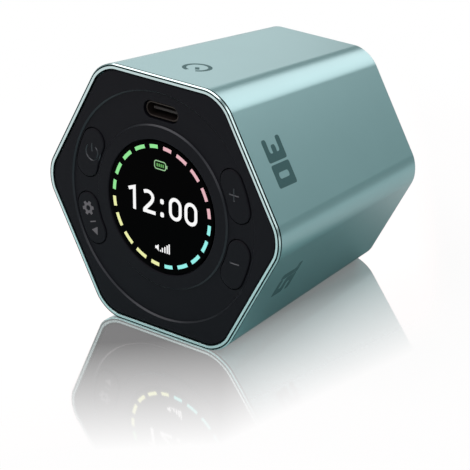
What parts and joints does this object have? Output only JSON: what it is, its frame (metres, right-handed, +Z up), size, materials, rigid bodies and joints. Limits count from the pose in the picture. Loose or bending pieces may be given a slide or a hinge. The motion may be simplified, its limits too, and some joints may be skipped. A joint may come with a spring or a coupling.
{
  "type": "flip timer",
  "caption": "Hexagonal gravity timer: a tapered anodised aluminium sleeve round a black face with a round lit display, bean shaped keys and a charging port. Turned onto a flat to set a time.",
  "frame": {"origin": "on the floor under the middle of the box round the timer, which lies on one flat", "axes": "+Z up out of the floor; +X to the right of someone who looks at the display; +Y from the display towards the rear"},
  "size_m": [0.0642, 0.0572, 0.0577],
  "materials": {
    "sleeve": "satin anodised, sage teal",
    "face_plastic": "fine matte black",
    "key_plastic": "soft matte black",
    "window": "glossy black window",
    "screen": "dark screen",
    "ribbon_film": "amber film",
    "board": "green solder mask",
    "connector_plastic": "white moulded plastic",
    "chip_resin": "black moulded resin",
    "steel": "plain steel",
    "frame_plastic": "dark grey moulded plastic",
    "cell_foil": "silver foil pouch",
    "foam": "closed foam",
    "wire": "red insulation"
  },
  "bodies": {
    "case": {"outer_shell": "sleeve", "front_panel": "face_plastic", "rear_cover": "face_plastic", "display_lens": "window", "display_module": "screen", "display_ribbon": "ribbon_film", "switch_power": "steel", "switch_mode": "steel", "switch_plus": "steel", "switch_minus": "steel", "usb_receptacle": "steel", "usb_tongue": "chip_resin", "main_board": "board", "ribbon_socket": "connector_plastic", "battery_socket": "connector_plastic", "speaker_socket": "connector_plastic", "processor_chip": "chip_resin", "motion_chip": "chip_resin", "charger_chip": "chip_resin", "inner_frame": "frame_plastic", "board_screw_1": "steel", "board_screw_2": "steel", "board_screw_3": "steel", "battery_cell": "cell_foil", "battery_pad": "foam", "battery_lead": "wire", "speaker": "steel", "speaker_gasket": "foam", "speaker_lead": "wire", "rear_screw_1": "steel", "rear_screw_2": "steel", "rear_screw_3": "steel"},
    "power_key": {"button_power": "key_plastic"},
    "power_plunger": {"plunger_power": "chip_resin"},
    "mode_key": {"button_mode": "key_plastic"},
    "mode_plunger": {"plunger_mode": "chip_resin"},
    "plus_key": {"button_plus": "key_plastic"},
    "plus_plunger": {"plunger_plus": "chip_resin"},
    "minus_key": {"button_minus": "key_plastic"},
    "minus_plunger": {"plunger_minus": "chip_resin"}
  },
  "joints": [
    {"name": "power_press", "type": "slide", "parent": "case", "child": "power_key", "axis": [0, 0.9967, -0.0806], "range_m": [0, 0.0005], "stiffness_N_per_m": 2000},
    {"name": "power_plunger_slide", "type": "slide", "parent": "case", "child": "power_plunger", "axis": [0, 0.9967, -0.0806], "range_m": [0, 0.00025]},
    {"name": "mode_press", "type": "slide", "parent": "case", "child": "mode_key", "axis": [0, 0.9967, -0.0806], "range_m": [0, 0.0005], "stiffness_N_per_m": 2000},
    {"name": "mode_plunger_slide", "type": "slide", "parent": "case", "child": "mode_plunger", "axis": [0, 0.9967, -0.0806], "range_m": [0, 0.00025]},
    {"name": "plus_press", "type": "slide", "parent": "case", "child": "plus_key", "axis": [0, 0.9967, -0.0806], "range_m": [0, 0.0005], "stiffness_N_per_m": 2000},
    {"name": "plus_plunger_slide", "type": "slide", "parent": "case", "child": "plus_plunger", "axis": [0, 0.9967, -0.0806], "range_m": [0, 0.00025]},
    {"name": "minus_press", "type": "slide", "parent": "case", "child": "minus_key", "axis": [0, 0.9967, -0.0806], "range_m": [0, 0.0005], "stiffness_N_per_m": 2000},
    {"name": "minus_plunger_slide", "type": "slide", "parent": "case", "child": "minus_plunger", "axis": [0, 0.9967, -0.0806], "range_m": [0, 0.00025]}
  ],
  "couplings": [
    {"joint": "power_plunger_slide", "follows": "power_press", "ratio": 0.5},
    {"joint": "mode_plunger_slide", "follows": "mode_press", "ratio": 0.5},
    {"joint": "plus_plunger_slide", "follows": "plus_press", "ratio": 0.5},
    {"joint": "minus_plunger_slide", "follows": "minus_press", "ratio": 0.5}
  ]
}
